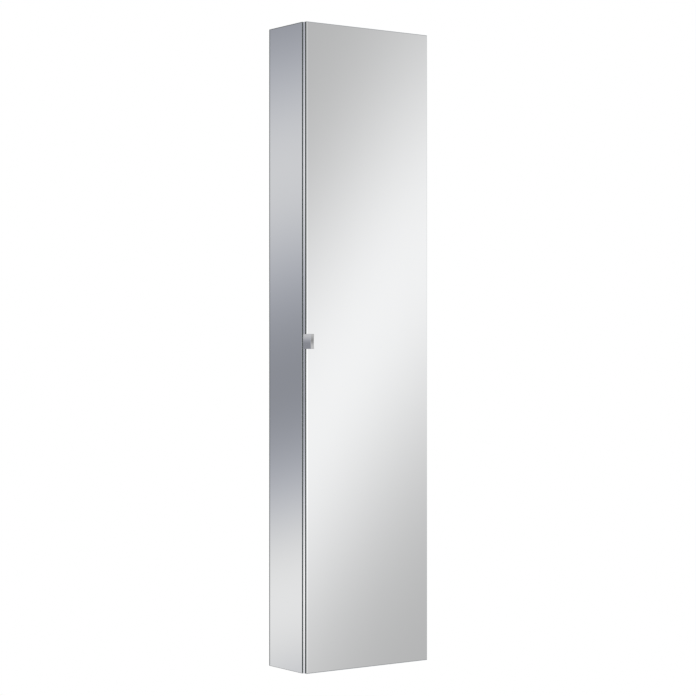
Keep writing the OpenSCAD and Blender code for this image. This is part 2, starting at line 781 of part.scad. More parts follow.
// A cup has a flange on the door's rear, and two lugs inside that hold the pin
module hinge_cup(i) {
    color("gainsboro") at_hinge(i) difference() {
        union() {
            difference() {
                union() {
                    rod_y(2 * cup_r, -cup_depth, 0, cup_x, 0);
                    rod_y(cup_bore_d + 2 * flange_lap, 0, flange_t, cup_x, 0);
                    block([wing_x, 0, -wing_z], [wing_x + cup_wing_w, flange_t, wing_z]);
                }
                rod_y(2 * cup_inner_r, cup_floor - cup_depth, flange_t + cut, cup_x, 0);
            }
            intersection() {
                rod_y(2 * cup_r, -cup_depth, 0, cup_x, 0);
                for (side = [-1, 1]) mirror([0, 0, side < 0 ? 1 : 0])
                    block([0, -cup_depth, lug_in], [pin_in + lug_past, pin_y + lug_over, lug_out]);
            }
        }
        rod_z(pin_d + 2 * hole_clear, -lug_out - cut, lug_out + cut, pin_in, pin_y);
        for (z = [-1, 1] * cup_screw_gap / 2)
            rod_y(cup_screw_d + 2 * hole_clear, -cut, flange_t + cut, cup_screw_x, z);
    }
}

module hinge_pins() {
    color("gray") for (i = [1:hinge_n]) at_hinge(i)
        rod_z(pin_d, -lug_out - pin_over, lug_out + pin_over, pin_in, pin_y);
}

module hinge_cup_screws() {
    color("gray") for (i = [1:hinge_n], z = [-1, 1] * cup_screw_gap / 2) at_hinge(i) {
        rod_y(cup_head_d, flange_t, flange_t + cup_head_h, cup_screw_x, z);
        rod_y(cup_screw_d, -cup_screw_l, flange_t, cup_screw_x, z);
    }
}

// Screw places of the handle
module at_handle_screws() {
    for (z = [-1, 1] * handle_screw_gap / 2) translate([handle_x, handle_screw_y, handle_z + z]) children();
}

// A flat-headed screw of the handle, with a clearance around it
module handle_screw(clear) {
    translate([-clear, 0, 0]) rotate([0, 90, 0])
        cylinder(d1 = handle_head_d + 2 * clear, d2 = handle_screw_d + 2 * clear, h = handle_head_h);
    rod_x(handle_screw_d + 2 * clear, handle_head_h - clear, handle_screw_l, 0, 0);
}

module door_handle() {
    low = handle_z - handle_h / 2;
    high = handle_z + handle_h / 2;
    color("silver") difference() {
        union() {
            block([handle_x, door_front - handle_reach, low], [handle_x + handle_w, door_front, high]);
            block([handle_x, door_front - cut, low], [-door_half, door_front + foot_d, high]);
        }
        rod_x(2 * scoop_r, handle_x - cut, handle_x + handle_w + cut,
              door_front - handle_reach + scoop_d - scoop_r, handle_z);
        at_handle_screws() handle_screw(hole_clear);
    }
}

module handle_screws() {
    color("gray") at_handle_screws() handle_screw(0);
}

module door_bumpers() {
    x = -board_out + seal_in + seal_w + bumper_off + bumper_d / 2;
    color("white") for (z = [door_bottom + bumper_end, door_top - bumper_end])
        rod_y(bumper_d, door_rear, carcass_front - touch_gap, x, z);
}

side_board(-1);  // side_board_left
side_board(1);  // side_board_right
top_board();
bottom_board();
back_panel();
side_mirror(-1);  // side_mirror_left
side_mirror(1);  // side_mirror_right
glass_shelf(1);  // glass_shelf_1
glass_shelf(2);  // glass_shelf_2
glass_shelf(3);  // glass_shelf_3
glass_shelf(4);  // glass_shelf_4
glass_shelf(5);  // glass_shelf_5
shelf_supports();
cam_discs();
cam_bolts();
wood_dowels();
hanger_body(-1);  // hanger_body_left
hanger_body(1);  // hanger_body_right
hanger_hook(-1);  // hanger_hook_left
hanger_hook(1);  // hanger_hook_right
hanger_cover(-1);  // hanger_cover_left
hanger_cover(1);  // hanger_cover_right
hanger_screws();
wall_rail();
wall_spacers();
dust_seal();
hinge_plate(1);  // hinge_plate_1
hinge_plate(2);  // hinge_plate_2
hinge_plate(3);  // hinge_plate_3
hinge_plate(4);  // hinge_plate_4
hinge_arm(1);  // hinge_arm_1
hinge_arm(2);  // hinge_arm_2
hinge_arm(3);  // hinge_arm_3
hinge_arm(4);  // hinge_arm_4
hinge_plate_screws();
hinge_arm_screws();
door_mirror();
door_inner_mirror();
door_core();
door_edge_side(-1);  // door_edge_left
door_edge_side(1);  // door_edge_right
door_edge_end(door_top - edge_t);  // door_edge_top
door_edge_end(door_bottom);  // door_edge_bottom
mirror_gasket();
corner_keys();
hinge_insert(1);  // hinge_insert_1
hinge_insert(2);  // hinge_insert_2
hinge_insert(3);  // hinge_insert_3
hinge_insert(4);  // hinge_insert_4
hinge_cup(1);  // hinge_cup_1
hinge_cup(2);  // hinge_cup_2
hinge_cup(3);  // hinge_cup_3
hinge_cup(4);  // hinge_cup_4
hinge_pins();
hinge_cup_screws();
door_handle();
handle_screws();
door_bumpers();
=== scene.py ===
import json
import math

import bmesh
import bpy
import numpy as np
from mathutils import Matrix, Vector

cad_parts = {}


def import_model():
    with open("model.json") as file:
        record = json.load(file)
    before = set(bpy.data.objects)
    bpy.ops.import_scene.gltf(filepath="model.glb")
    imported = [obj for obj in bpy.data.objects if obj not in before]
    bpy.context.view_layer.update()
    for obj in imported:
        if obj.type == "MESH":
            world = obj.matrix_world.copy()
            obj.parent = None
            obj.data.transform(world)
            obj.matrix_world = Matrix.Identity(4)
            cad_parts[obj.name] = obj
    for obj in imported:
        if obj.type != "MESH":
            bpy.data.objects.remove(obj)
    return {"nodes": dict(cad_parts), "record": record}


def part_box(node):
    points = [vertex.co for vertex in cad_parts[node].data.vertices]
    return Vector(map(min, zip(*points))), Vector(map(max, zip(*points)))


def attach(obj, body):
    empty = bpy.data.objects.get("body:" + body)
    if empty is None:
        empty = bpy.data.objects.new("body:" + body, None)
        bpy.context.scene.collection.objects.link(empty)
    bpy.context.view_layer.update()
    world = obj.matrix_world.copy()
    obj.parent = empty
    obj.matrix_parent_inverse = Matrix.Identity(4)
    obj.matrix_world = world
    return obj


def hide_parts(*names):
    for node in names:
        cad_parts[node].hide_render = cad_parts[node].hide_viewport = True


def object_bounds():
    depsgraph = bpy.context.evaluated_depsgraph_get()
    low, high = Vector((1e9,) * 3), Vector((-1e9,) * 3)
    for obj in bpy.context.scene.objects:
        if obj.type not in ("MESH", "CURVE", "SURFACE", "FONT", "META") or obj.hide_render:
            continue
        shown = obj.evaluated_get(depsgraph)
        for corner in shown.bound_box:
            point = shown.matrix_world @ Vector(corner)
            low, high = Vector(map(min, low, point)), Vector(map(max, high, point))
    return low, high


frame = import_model()
cad_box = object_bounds()

MM = 0.001
HINGES = range(1, 5)
SHELVES = range(1, 6)
SIDES = ("left", "right")
BODIES = {node: body for body, nodes in frame["record"]["behaviour"]["bodies"].items() for node in nodes}

# Each face of a piece has its own frame: across, up and out of the face
FACING = {
    "front": np.array([[1, 0, 0], [0, 0, 1], [0, -1, 0]]),
    "rear": np.array([[-1, 0, 0], [0, 0, 1], [0, 1, 0]]),
    "left": np.array([[0, -1, 0], [0, 0, 1], [-1, 0, 0]]),
    "right": np.array([[0, 1, 0], [0, 0, 1], [1, 0, 0]]),
    "up": np.array([[1, 0, 0], [0, 1, 0], [0, 0, 1]]),
}

# Mirrors: widths of the polished arris and of the lines between it and the silver. The arris at
# the back is a share of the front one, and a cut-out leaves a gap round its hinge insert.
SIDE_ARRIS = 0.2 * MM
DOOR_ARRIS = 1.0 * MM
INNER_ARRIS = 0.6 * MM
BACK_ARRIS = 0.5
SIDE_WALL_LINE = 4.0 * MM
SIDE_BOTTOM_LINE = 0.9 * MM
SIDE_TOP_LINE = 1.8 * MM
DOOR_BOTTOM_LINE = 0.8 * MM
DOOR_RIGHT_LINE = 0.25 * MM
DOOR_TOP_LINE = 0.6 * MM
# Width of the painted highlight, a strip of brighter metal, along the door mirror's free edge
DOOR_BRIGHT_LINE = 2.5 * MM
INNER_LINE = 0.5 * MM
NO_LINE = 0.02 * MM
INSERT_GAP = 0.3 * MM

# Numbers of a mirror's finishes, from its back to its front. BRIGHT_LINE is a painted highlight.
PAINT, RIM, ARRIS, DARK_LINE, BRIGHT_LINE, SILVER = range(6)

# Glass shelves
SHELF_ARRIS = 0.8 * MM
SHELF_CORNER = 3 * MM

# Aluminium strips, and the dust seal, whose foot is the straight stretch behind its round lip
STRIP_EDGE = 0.3 * MM
SEAL_FOOT = 1.2 * MM
SEAL_PLACES = 13

# Bumpers: the edge rounds off over shares of the radius and of the depth, along an arc of nearly
# a quarter turn, in degrees. The last ring, a share of the radius, closes the flat middle.
BUMPER_ROUND_ACROSS = 0.45
BUMPER_ROUND_DEEP = 0.55
BUMPER_ARC = 88
BUMPER_RINGS = 9
BUMPER_FLAT = 0.2

# Handle. Its front has a hollow and slants back. Its outer face has a crown, in metres per square
# metre, whose crest is measured from the handle's middle. The screws stand proud of that face.
# Its rows and columns of points count both ends.
GRIP_EDGE = 0.45 * MM
GRIP_ROWS = 49
GRIP_COLUMNS = 26
SCOOP_RADIUS = 120 * MM
SCOOP_DEPTH = 1.5 * MM
FRONT_SLANT = math.tan(math.radians(6))
GRIP_CROWN = 1.6
GRIP_CREST = -5 * MM
GRIP_SCREW_SHAFT = 2.2 * MM
SCREW_PROUD = 0.05 * MM

# A rounded end takes a little less than the corners' radius, so that their points stay apart
BAR_END = 0.98
GRIP_END = 0.95

# Screws of the hinges: head diameter, head height, shaft diameter and the way the head faces
HINGE_SCREWS = {
    "hinge_plate_screws": (7.5 * MM, 1.8 * MM, 4.4 * MM, "left"),
    "hinge_arm_screws": (7.5 * MM, 1.8 * MM, 4.4 * MM, "left"),
    "hinge_cup_screws": (6.0 * MM, 1.0 * MM, 3.0 * MM, "rear"),
}

# Screw heads: shares of the head's height for the dome, for the ends of the rim and for the depth
# of the cross, and shares of its radius for the cross's reach, half width and sloping walls
DOME = 0.35
DOMED_RIM = (0.0, 0.6)
FLAT_RIM = (0.92, 1.0)
CROSS_DEPTH = 0.55
CROSS_REACH = 0.58
CROSS_END_WALL = 0.08
CROSS_HALF_WIDTH = 0.16
CROSS_SIDE_WALL = 0.06

# Rings of a screw head, in shares of its radius: few outside the cross, and close ones over it
HEAD_RINGS = np.concatenate([np.linspace(0.99, 0.66, 4), np.linspace(0.60, 0.02, 12)])
HEAD_PLACES = 48

# A screw's tip tapers over a share of its shaft's diameter, to a share of its radius
TIP_LENGTH = 0.15
TIP_RADIUS = 0.7

# Radius of the rounded edges of the pieces that keep their CAD shape, by how their names start
EDGES = {
    "hinge_arm": 0.35 * MM,
    "hinge_cup": 0.25 * MM,
    "hinge_plate": 0.35 * MM,
    "hinge_insert": 0.3 * MM,
    "shelf_supports": 0.5 * MM,
    "cam_discs": 0.25 * MM,
    "hanger_body": 0.5 * MM,
    "hanger_hook": 0.5 * MM,
    "hanger_cover": 0.7 * MM,
    "hanger_screws": 0.3 * MM,
    "wall_rail": 0.7 * MM,
    "wall_spacers": 1.0 * MM,
}

# Angles in degrees at which an edge starts to look sharp, at which it is rounded, and up to which
# triangles of a CAD piece count as one flat face. Points closer than MERGE become one point.
CREASE = 35
SEAL_CREASE = 50
BEVEL_ANGLE = 30
FLAT_ANGLE = 1
MERGE = 0.001 * MM

# Camera of the photograph: its turn to the right, its place, its focal length and the side of the
# square photograph in pixels, and its sensor in millimetres
YAW = math.radians(35.72)
CAMERA_PLACE = (-3.114, -4.413, -0.776)
FOCAL_PIXELS = 1977.4
PHOTO_PIXELS = 696
SENSOR = 36.0

# Studio. The silver gives back a share of the light. A direction's level run has a least value, so
# that its slope stays finite. A band is the slope of its middle, its width and its strength. A
# fade is the slopes where it starts and ends, and the brightness it ends in. A level is the
# brightness beside a band, and an edge is where a change starts and ends.
SILVER_SHARE = 0.78
LEAST_RUN = 0.001
WHITE = (1.0, 1.0, 1.0)
EVEN_LIGHT = 0.85

# Broad light ahead, which leans most at its middle, by a slope per radian of turn, and evens out
# at a pace, also per radian
BROAD_LEAN = 1.60
BROAD_PACE = 17.6
BROAD_BAND = (-0.0066, 0.117, 0.4475)
BROAD_LEVEL = 0.441
AHEAD_HIGH = (0.17, 0.40, 0.62)
AHEAD_LOW = (0.17, 0.40, 0.30)

# Low light on its left, whose upper edge is given in slopes downwards
LOW_BAND = (-0.02, 0.075, 0.44)
LOW_EDGE = (-0.010, 0.004)
LOW_LEVEL = 0.45
LOW_TURN = math.radians(-54.3)
LOW_SPREAD = math.radians(9)

# Panel on its right, whose dark middle is a band that takes light away
PANEL_BAND = (-0.015, 0.14, -0.36)
PANEL_LEVEL = 0.60
PANEL_HEIGHT = 0.6
PANEL_TURN = math.radians(49)
PANEL_SPREAD = math.radians(5.5)

# Dusky wall behind, with two bands that tilt by a slope per radian of turn
UPPER_BAND = (0.099, 0.0662, 0.387)
LOWER_BAND = (-0.118, 0.0642, 0.543)
DUSK_LEVEL = 0.21
DUSK_TILT = 0.30
BEHIND_HIGH = (0.25, 0.50, 0.30)
BEHIND_LOW = (0.30, 0.60, 0.30)
BEHIND_EDGE = (-0.25, 0.25)

# Its light turns from bluish to white as it gets brighter
DUSK_BLUE = (0.95, 0.985, 1.10)
DUSK_EDGE = (0.25, 0.75)

# Soft bands high up and low down: a cosine of the angle from level, with six waves in a full turn
STEEP_MIDDLE = math.radians(36)
STEEP_COUNT = 6.0
STEEP_SWING = 0.16
STEEP_LEVEL = 0.48
STEEP_EDGE = (0.40, 0.70)

# Lamp: its strength, how wide it is and how it is turned
LAMP_STRENGTH = 0.7
LAMP_WIDTH = math.radians(25)
LAMP_TURN = (math.radians(40), 0.0, math.radians(-30))

# Floor: its depth below the cabinet, its half width, and how far out it fades to white
FLOOR_DROP = 0.30
FLOOR_SIZE = 12.0
FLOOR_FADE = (0.35, 1.15)


# Forms: a form is its points and its groups of faces, each group with the number of its finish


def faced_box(node, facing):
    """Lowest and highest corner of a node in the frame of one of its faces."""
    corners = np.array(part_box(node)) @ FACING[facing].T
    return corners.min(0), corners.max(0)


def rectangle(low, high):
    """Corners of a rectangle, anticlockwise from the lowest one."""
    return np.array([[low[0], low[1]], [high[0], low[1]], [high[0], high[1]], [low[0], high[1]]])


def rounded(corners, radius, steps=4):
    """Rounds the square corners of an anticlockwise outline. A corner c whose unit directions to
    its neighbours are a and b gives c + r(a + b) - r(b cos t + a sin t), for t from 0 to 90 degrees."""
    a = np.roll(corners, 1, 0) - corners
    b = np.roll(corners, -1, 0) - corners
    a, b = (side / np.linalg.norm(side, axis=1)[:, None] for side in (a, b))
    turn = np.radians(np.linspace(0, 90, steps + 1))[None, :, None]
    a, b, corners = a[:, None], b[:, None], corners[:, None]
    return (corners + radius * (a + b - b * np.cos(turn) - a * np.sin(turn))).reshape(-1, 2)


def mitres(outline):
    """Inward mitre at each corner of an anticlockwise outline: the sum of the two neighbouring
    edges' unit normals, over one plus the cosine between them."""
    edge = np.roll(outline, -1, 0) - outline
    edge = edge / np.linalg.norm(edge, axis=1)[:, None]
    after = np.stack([-edge[:, 1], edge[:, 0]], 1)
    before = np.roll(after, 1, 0)
    return (after + before) / (1 + (after * before).sum(1))[:, None]


def band(rings, count, first=0):
    """Quads between rings of count points each, where each ring closes on itself."""
    start = first + np.arange(rings - 1)[:, None] * count
    here = np.arange(count)[None]
    after = (here + 1) % count
    quads = [start + here, start + after, start + count + after, start + count + here]
    return np.stack(quads, -1).reshape(-1, 4)


def skinned(rings, kinds):
    """Closed form over rings of points, which are an array of ring, place and coordinate. The
    kinds name the finish of the first cap, of each band and of the last cap."""
    count = rings.shape[1]
    around = np.arange(count)[None]
    groups = [(around[:, ::-1], kinds[0])]
    groups += [(band(2, count, k * count), kinds[k + 1]) for k in range(len(rings) - 1)]
    groups += [(around + (len(rings) - 1) * count, kinds[-1])]
    return rings.reshape(-1, 3), groups


def layered(outline, layers, facing, kinds=None, shifts=None):
    """Closed form whose rings are the outline, moved inwards along its mitres by each layer's
    inset and out of the face by its height. The last rings can have shifts for each corner."""
    inset, height = np.array(layers, float).T
    flat = outline[None] + inset[:, None, None] * mitres(outline)[None]
    if shifts is not None:
        flat[-len(shifts):] += shifts
    up = np.broadcast_to(height[:, None, None], (*flat.shape[:2], 1))
    rings = np.concatenate([flat, up], 2) @ FACING[facing]
    return skinned(rings, kinds or [0] * (len(layers) + 1))


def turned(radius, height, centre, facing, steps=32):
    """Closed form turned about the line out of the face through centre. Radius and height are
    given for each ring, or for each ring and each place round it."""
    angle = np.linspace(0, 2 * math.pi, steps, endpoint=False)
    radius, height = (np.array(v, float).reshape(len(radius), -1) for v in (radius, height))
    parts = np.broadcast_arrays(radius * np.cos(angle), radius * np.sin(angle), height)
    rings = np.stack(parts, -1) @ FACING[facing] + np.array(centre)
    return skinned(rings, [0] * (len(rings) + 1))


def joined(forms):
    """Several forms as one: their points follow each other and their faces are renumbered."""
    starts = np.cumsum([0] + [len(points) for points, _ in forms])
    groups = [(faces + start, kind) for start, (_, own) in zip(starts, forms) for faces, kind in own]
    return np.concatenate([points for points, _ in forms]), groups


def round_over(radius, steps=4):
    """Insets and heights of a rounded edge, from the end face to the side."""
    angle = np.radians(np.linspace(0, 90, steps + 1))
    return [(radius * (1 - math.sin(a)), radius * (1 - math.cos(a))) for a in angle]


def bar(low, high, facing, radius, steps=3):
    """Box between two corners of a face's frame, with all its edges rounded."""
    outline = rounded(rectangle(low, high), radius, steps)
    end = round_over(radius * BAR_END, steps)
    layers = [(inset, low[2] + rise) for inset, rise in end]
    layers += [(inset, high[2] - rise) for inset, rise in end[::-1]]
    return layered(outline, layers, facing)


def show(name, form, node, *finishes, crease=CREASE):
    """Makes a form a piece that stands for a CAD node: it rides on that node's body, and the node is
    hidden."""
    points, groups = form
    mesh = bpy.data.meshes.new(name)
    mesh.from_pydata(points.tolist(), [], [face for faces, _ in groups for face in faces.tolist()])
    for finish in finishes:
        mesh.materials.append(finish)
    kinds = np.concatenate([np.full(len(faces), kind) for faces, kind in groups])
    mesh.polygons.foreach_set("material_index", kinds)
    even_out(stand_in(name, mesh, node, crease))


def even_out(piece):
    """Lets a large face keep its own direction, and its small neighbours bend to meet it."""
    piece.modifiers.new("large_faces_lead", "WEIGHTED_NORMAL").keep_sharp = True


def place_in_scene(name, data):
    """Puts a mesh, a lamp or a camera in the scene as an object."""
    placed = bpy.data.objects.new(name, data)
    bpy.context.scene.collection.objects.link(placed)
    return placed


def stand_in(name, mesh, node, crease=CREASE):
    """Puts a finished mesh in the scene as the piece that stands for a CAD node."""
    mesh.shade_smooth()
    mesh.set_sharp_from_angle(angle=math.radians(crease))
    mesh.update()
    piece = place_in_scene(name, mesh)
    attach(piece, BODIES[node])
    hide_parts(node)
    return piece


def softened(name, node, finish, steps=2):
    """A copy of a CAD piece whose sharp edges are rounded: its triangles are merged into flat
    faces, and a Bevel modifier rounds every edge that is sharper than BEVEL_ANGLE."""
    mesh = frame["nodes"][node].data.copy()
    mesh.name = name
    shape = bmesh.new()
    shape.from_mesh(mesh)
    bmesh.ops.remove_doubles(shape, verts=shape.verts, dist=MERGE)
    flat = math.radians(FLAT_ANGLE)
    bmesh.ops.dissolve_limit(shape, angle_limit=flat, verts=shape.verts, edges=shape.edges)
    shape.to_mesh(mesh)
    shape.free()
    mesh.materials.clear()
    mesh.materials.append(finish)
    piece = stand_in(name, mesh, node)
    bevel = piece.modifiers.new("round_edges", "BEVEL")
    bevel.width = next(radius for kind, radius in EDGES.items() if node.startswith(kind))
    bevel.segments = steps
    bevel.limit_method = "ANGLE"
    bevel.angle_limit = math.radians(BEVEL_ANGLE)
    even_out(piece)


def coat(finish, *nodes):
    """Gives CAD nodes that keep their own mesh a finish."""
    for node in nodes:
        materials = frame["nodes"][node].data.materials
        materials.clear()
        materials.append(finish)


# Shader nodes


def connect(tree, value, place):
    """Puts a number, a colour or the value of another node into a socket."""
    if isinstance(value, Value):
        tree.links.new(value.socket, place)
    else:
        place.default_value = value


def mixed(tree, share, first, second):
    """The first shader where share is 0, the second one where share is 1."""
    node = tree.nodes.new("ShaderNodeMixShader")
    connect(tree, share, node.inputs["Fac"])
    tree.links.new(first, node.inputs[1])
    tree.links.new(second, node.inputs[2])
    return node.outputs["Shader"]


class Value:
    """A value that shader nodes work out. Arithmetic on it adds the nodes that do the sum."""

    def __init__(self, socket):
        self.socket = socket
        self.tree = socket.id_data

    def math(self, operation, *others):
        """Adds a Math node that takes this value first."""
        node = self.tree.nodes.new("ShaderNodeMath")
        node.operation = operation
        for place, value in zip(node.inputs, (self, *others)):
            connect(self.tree, value, place)
        return Value(node.outputs["Value"])

    def __add__(self, other):
        return self.math("ADD", other)

    def __sub__(self, other):
        return self.math("SUBTRACT", other)

    def __mul__(self, other):
        return self.math("MULTIPLY", other)

    def __truediv__(self, other):
        return self.math("DIVIDE", other)

    def between(self, low, high):
        """Spreads a value from 0 to 1 over low to high."""
        return self * (high - low) + low

    def rise(self, low, high):
        """0 below low, 1 above high and a smooth rise between them."""
        node = self.tree.nodes.new("ShaderNodeMapRange")
        node.interpolation_type = "SMOOTHSTEP"
        connect(self.tree, self, node.inputs["Value"])
        node.inputs["From Min"].default_value = low
        node.inputs["From Max"].default_value = high
        return Value(node.outputs["Result"])

    def bell(self, width):
        """Smooth hump round zero: e to the minus square of the value over its width."""
        ratio = self / width
        return (ratio * ratio * -1.0).math("EXPONENT")

    def glow(self, middle, width, strength):
        """Smooth hump of a strength round a middle."""
        return (self - middle).bell(width) * strength

    def towards(self, other, share):
        """This value where share is 0, the other one where share is 1."""
        return self + (self * -1.0 + other) * share

    def fade(self, slope, start, end, level):
        """This value below the slope start, and the level above the slope end."""
        return self.towards(level, slope.rise(start, end))

    def tint(self, low, high):
        """Colour that goes from low to high as the value goes from 0 to 1."""
        node = self.tree.nodes.new("ShaderNodeMix")
        node.data_type = "RGBA"
        connect(self.tree, self, node.inputs["Factor"])
        for place, colour in zip([i for i in node.inputs if i.type == "RGBA"], (low, high)):
            place.default_value = (*colour, 1.0)
        return Value(next(out for out in node.outputs if out.type == "RGBA"))


class Finish:
    """A material being made up. Its patterns lie on the piece's own coordinates."""

    def __init__(self, name, colour, roughness, metallic=0.0):
        self.material = bpy.data.materials.new(name)
        self.material.use_nodes = True
        self.tree = self.material.node_tree
        self.shader = self.tree.nodes["Principled BSDF"]
        self.place = Value(self.add("ShaderNodeTexCoord").outputs["Object"])
        self.set("Base Color", (*colour, 1.0))
        self.set("Roughness", roughness)
        self.set("Metallic", metallic)

    def add(self, kind, **inputs):
        """Adds a node and fills its sockets by their names."""
        node = self.tree.nodes.new(kind)
        for name, value in inputs.items():
            connect(self.tree, value, node.inputs[name])
        return node

    def set(self, socket, value):
        """Fills a socket of the material's shader."""
        connect(self.tree, value, self.shader.inputs[socket])

    def noise(self, size, detail=2.0, stretch=(1, 1, 1)):
        """Cloudy pattern from 0 to 1, in blots of about size that stretch draws out."""
        spread = tuple(1.0 / (size * longer) for longer in stretch)
        place = Value(self.add("ShaderNodeMapping", Vector=self.place, Scale=spread).outputs["Vector"])
        return Value(self.add("ShaderNodeTexNoise", Vector=place, Scale=1.0, Detail=detail).outputs["Fac"])

    def cells(self, size):
        """Pattern of cells of about size, each with its own value from 0 to 1."""
        node = self.add("ShaderNodeTexVoronoi", Vector=self.place, Scale=1.0 / size)
        apart = self.add("ShaderNodeSeparateColor", Color=Value(node.outputs["Color"]))
        return Value(apart.outputs["Red"])

    def bump(self, pattern, height):
        """Raises the surface by up to height where the pattern is 1."""
        node = self.add("ShaderNodeBump", Height=pattern, Distance=height)
        self.set("Normal", Value(node.outputs["Normal"]))


def shades(colour, change):
    """Two colours, one darker and one lighter than a colour by a share of it."""
    return [tuple(c * (1 + sign * change) for c in colour) for sign in (-1, 1)]


# Finishes


def melamine():
    """White melamine: a fine pearl grain, and a gloss that varies a little over the board."""
    colour = (0.83, 0.84, 0.85)
    finish = Finish("melamine", colour, 0.35)
    pearl = finish.noise(0.9 * MM, detail=3)
    cloud = finish.noise(120 * MM)
    finish.set("Base Color", cloud.tint(*shades(colour, 0.012)))
    finish.set("Roughness", (pearl + cloud).between(0.15, 0.27))
    finish.bump(pearl, 0.004 * MM)
    return finish.material


def lacquered_board():
    """Thin board under white lacquer: a soft orange-peel and a faint tone."""
    colour = (0.80, 0.81, 0.82)
    finish = Finish("lacquered_board", colour, 0.45)
    peel = finish.noise(2.2 * MM)
    cloud = finish.noise(90 * MM)
    finish.set("Base Color", cloud.tint(*shades(colour, 0.015)))
    finish.set("Roughness", peel.between(0.38, 0.50))
    finish.bump(peel, 0.01 * MM)
    return finish.material


def silver():
    """Silver behind clear glass: almost no blur, with a breath of haze in wide wipes."""
    colour = (0.775, 0.780, 0.785)
    finish = Finish("silver", colour, 0.01, metallic=1.0)
    wipes = finish.noise(60 * MM, detail=3, stretch=(1, 1, 4))
    finish.set("Base Color", wipes.tint(*shades(colour, 0.004)))
    finish.set("Roughness", wipes.between(0.004, 0.022))
    return finish.material


def dark_edge_line():
    """Dark grey-green line along a mirror's edge, between its arris and its silver."""
    finish = Finish("dark_edge_line", (0.10, 0.115, 0.115), 0.12)
    mottle = finish.noise(40 * MM, detail=3)
    finish.set("Base Color", mottle.tint((0.10, 0.11, 0.11), (0.12, 0.13, 0.13)))
    finish.set("Roughness", mottle.between(0.08, 0.16))
    return finish.material


def painted_edge_highlight():
    """Painted highlight: a strip of brighter metal in a mirror's edge, which stands for the light that the
    polished glass gathers there.
    """
    finish = Finish("painted_edge_highlight", (0.95, 0.955, 0.96), 0.03, metallic=1.0)
    wipes = finish.noise(20 * MM, detail=3)
    finish.set("Base Color", wipes.tint((0.93, 0.935, 0.94), (0.97, 0.975, 0.98)))
    finish.set("Roughness", wipes.between(0.01, 0.04))
    return finish.material


def arris():
    """Polished 45 degree edge of a mirror, which shines like the silver behind it."""
    finish = Finish("arris", (0.82, 0.84, 0.84), 0.04, metallic=1.0)
    wheel = finish.noise(1.5 * MM, detail=3)
    finish.set("Base Color", wheel.tint((0.80, 0.82, 0.82), (0.86, 0.88, 0.88)))
    finish.set("Roughness", wheel.between(0.03, 0.10))
    return finish.material


def glass_rim():
    """Ground rim of float glass: dark green-grey, with the fine marks of the wheel."""
    finish = Finish("glass_rim", (0.08, 0.10, 0.095), 0.15)
    wheel = finish.noise(0.5 * MM, detail=3, stretch=(60, 1, 60))
    depth = finish.noise(80 * MM)
    finish.set("Base Color", depth.tint((0.07, 0.09, 0.085), (0.09, 0.115, 0.11)))
    finish.set("Roughness", wheel.between(0.10, 0.22))
    finish.bump(wheel, 0.002 * MM)
    return finish.material


def mirror_paint():
    """Grey paint that seals the back of a mirror."""
    finish = Finish("mirror_paint", (0.28, 0.30, 0.31), 0.5)
    curtain = finish.noise(1.2 * MM, detail=3)
    finish.set("Base Color", curtain.tint((0.26, 0.28, 0.29), (0.31, 0.33, 0.34)))
    finish.bump(curtain, 0.02 * MM)
    return finish.material


def clear_glass():
    """Clear float glass with its slight green."""
    finish = Finish("clear_glass", (0.93, 0.98, 0.96), 0.0)
    finish.set("Transmission Weight", 1.0)
    finish.set("IOR", 1.52)
    wipes = finish.noise(50 * MM, detail=3)
    finish.set("Roughness", wipes.between(0.0, 0.02))
    finish.set("Base Color", wipes.tint((0.925, 0.975, 0.955), (0.94, 0.985, 0.97)))
    return finish.material


def green_edge():
    """Polished edge of a glass shelf, where the glass looks green through its length."""
    finish = Finish("green_edge", (0.20, 0.46, 0.38), 0.08)
    finish.set("Transmission Weight", 0.55)
    finish.set("IOR", 1.52)
    wheel = finish.noise(1.0 * MM, detail=3, stretch=(5, 5, 1))
    finish.set("Base Color", wheel.tint((0.17, 0.42, 0.34), (0.25, 0.52, 0.44)))
    finish.set("Roughness", wheel.between(0.05, 0.16))
    return finish.material


def bright_aluminium(name, along):
    """Bright anodised strip with fine drawing lines along its length."""
    colour = (0.97, 0.97, 0.98)
    finish = Finish(name, colour, 0.06, metallic=1.0)
    stretch = tuple(2000.0 if axis == along else 1.0 for axis in "xyz")
    lines = finish.noise(0.25 * MM, stretch=stretch)
    finish.set("Base Color", lines.tint(*shades(colour, 0.02)))
    finish.set("Roughness", lines.between(0.03, 0.09))
    return finish.material


def chrome():
    """Polished chrome on a casting: clean, with faint long waves and hairline wear."""
    colour = (0.68, 0.68, 0.685)
    finish = Finish("chrome", colour, 0.05, metallic=1.0)
    wear = finish.noise(4 * MM, detail=4)
    finish.set("Base Color", wear.tint(*shades(colour, 0.02)))
    finish.set("Roughness", wear.between(0.03, 0.10))
    return finish.material


def plated(name, colour, low, high):
    """Plated steel: a satin gloss between two roughnesses, with small spots and rolling marks."""
    finish = Finish(name, colour, low, metallic=1.0)
    spots = finish.noise(1.1 * MM, detail=3)
    marks = finish.noise(6 * MM)
    finish.set("Base Color", marks.tint(*shades(colour, 0.04)))
    finish.set("Roughness", (spots + marks).between(low - 0.02, (high + low) / 2))
    finish.bump(spots, 0.002 * MM)
    return finish.material


def zinc():
    """Bright zinc on steel, with the pale and dark flakes of its crystals."""
    colour = (0.60, 0.62, 0.65)
    finish = Finish("zinc", colour, 0.35, metallic=1.0)
    flakes = finish.cells(2.5 * MM)
    finish.set("Base Color", flakes.tint(*shades(colour, 0.07)))
    finish.set("Roughness", flakes.between(0.26, 0.42))
    finish.bump(finish.noise(0.8 * MM, detail=3), 0.01 * MM)
    return finish.material


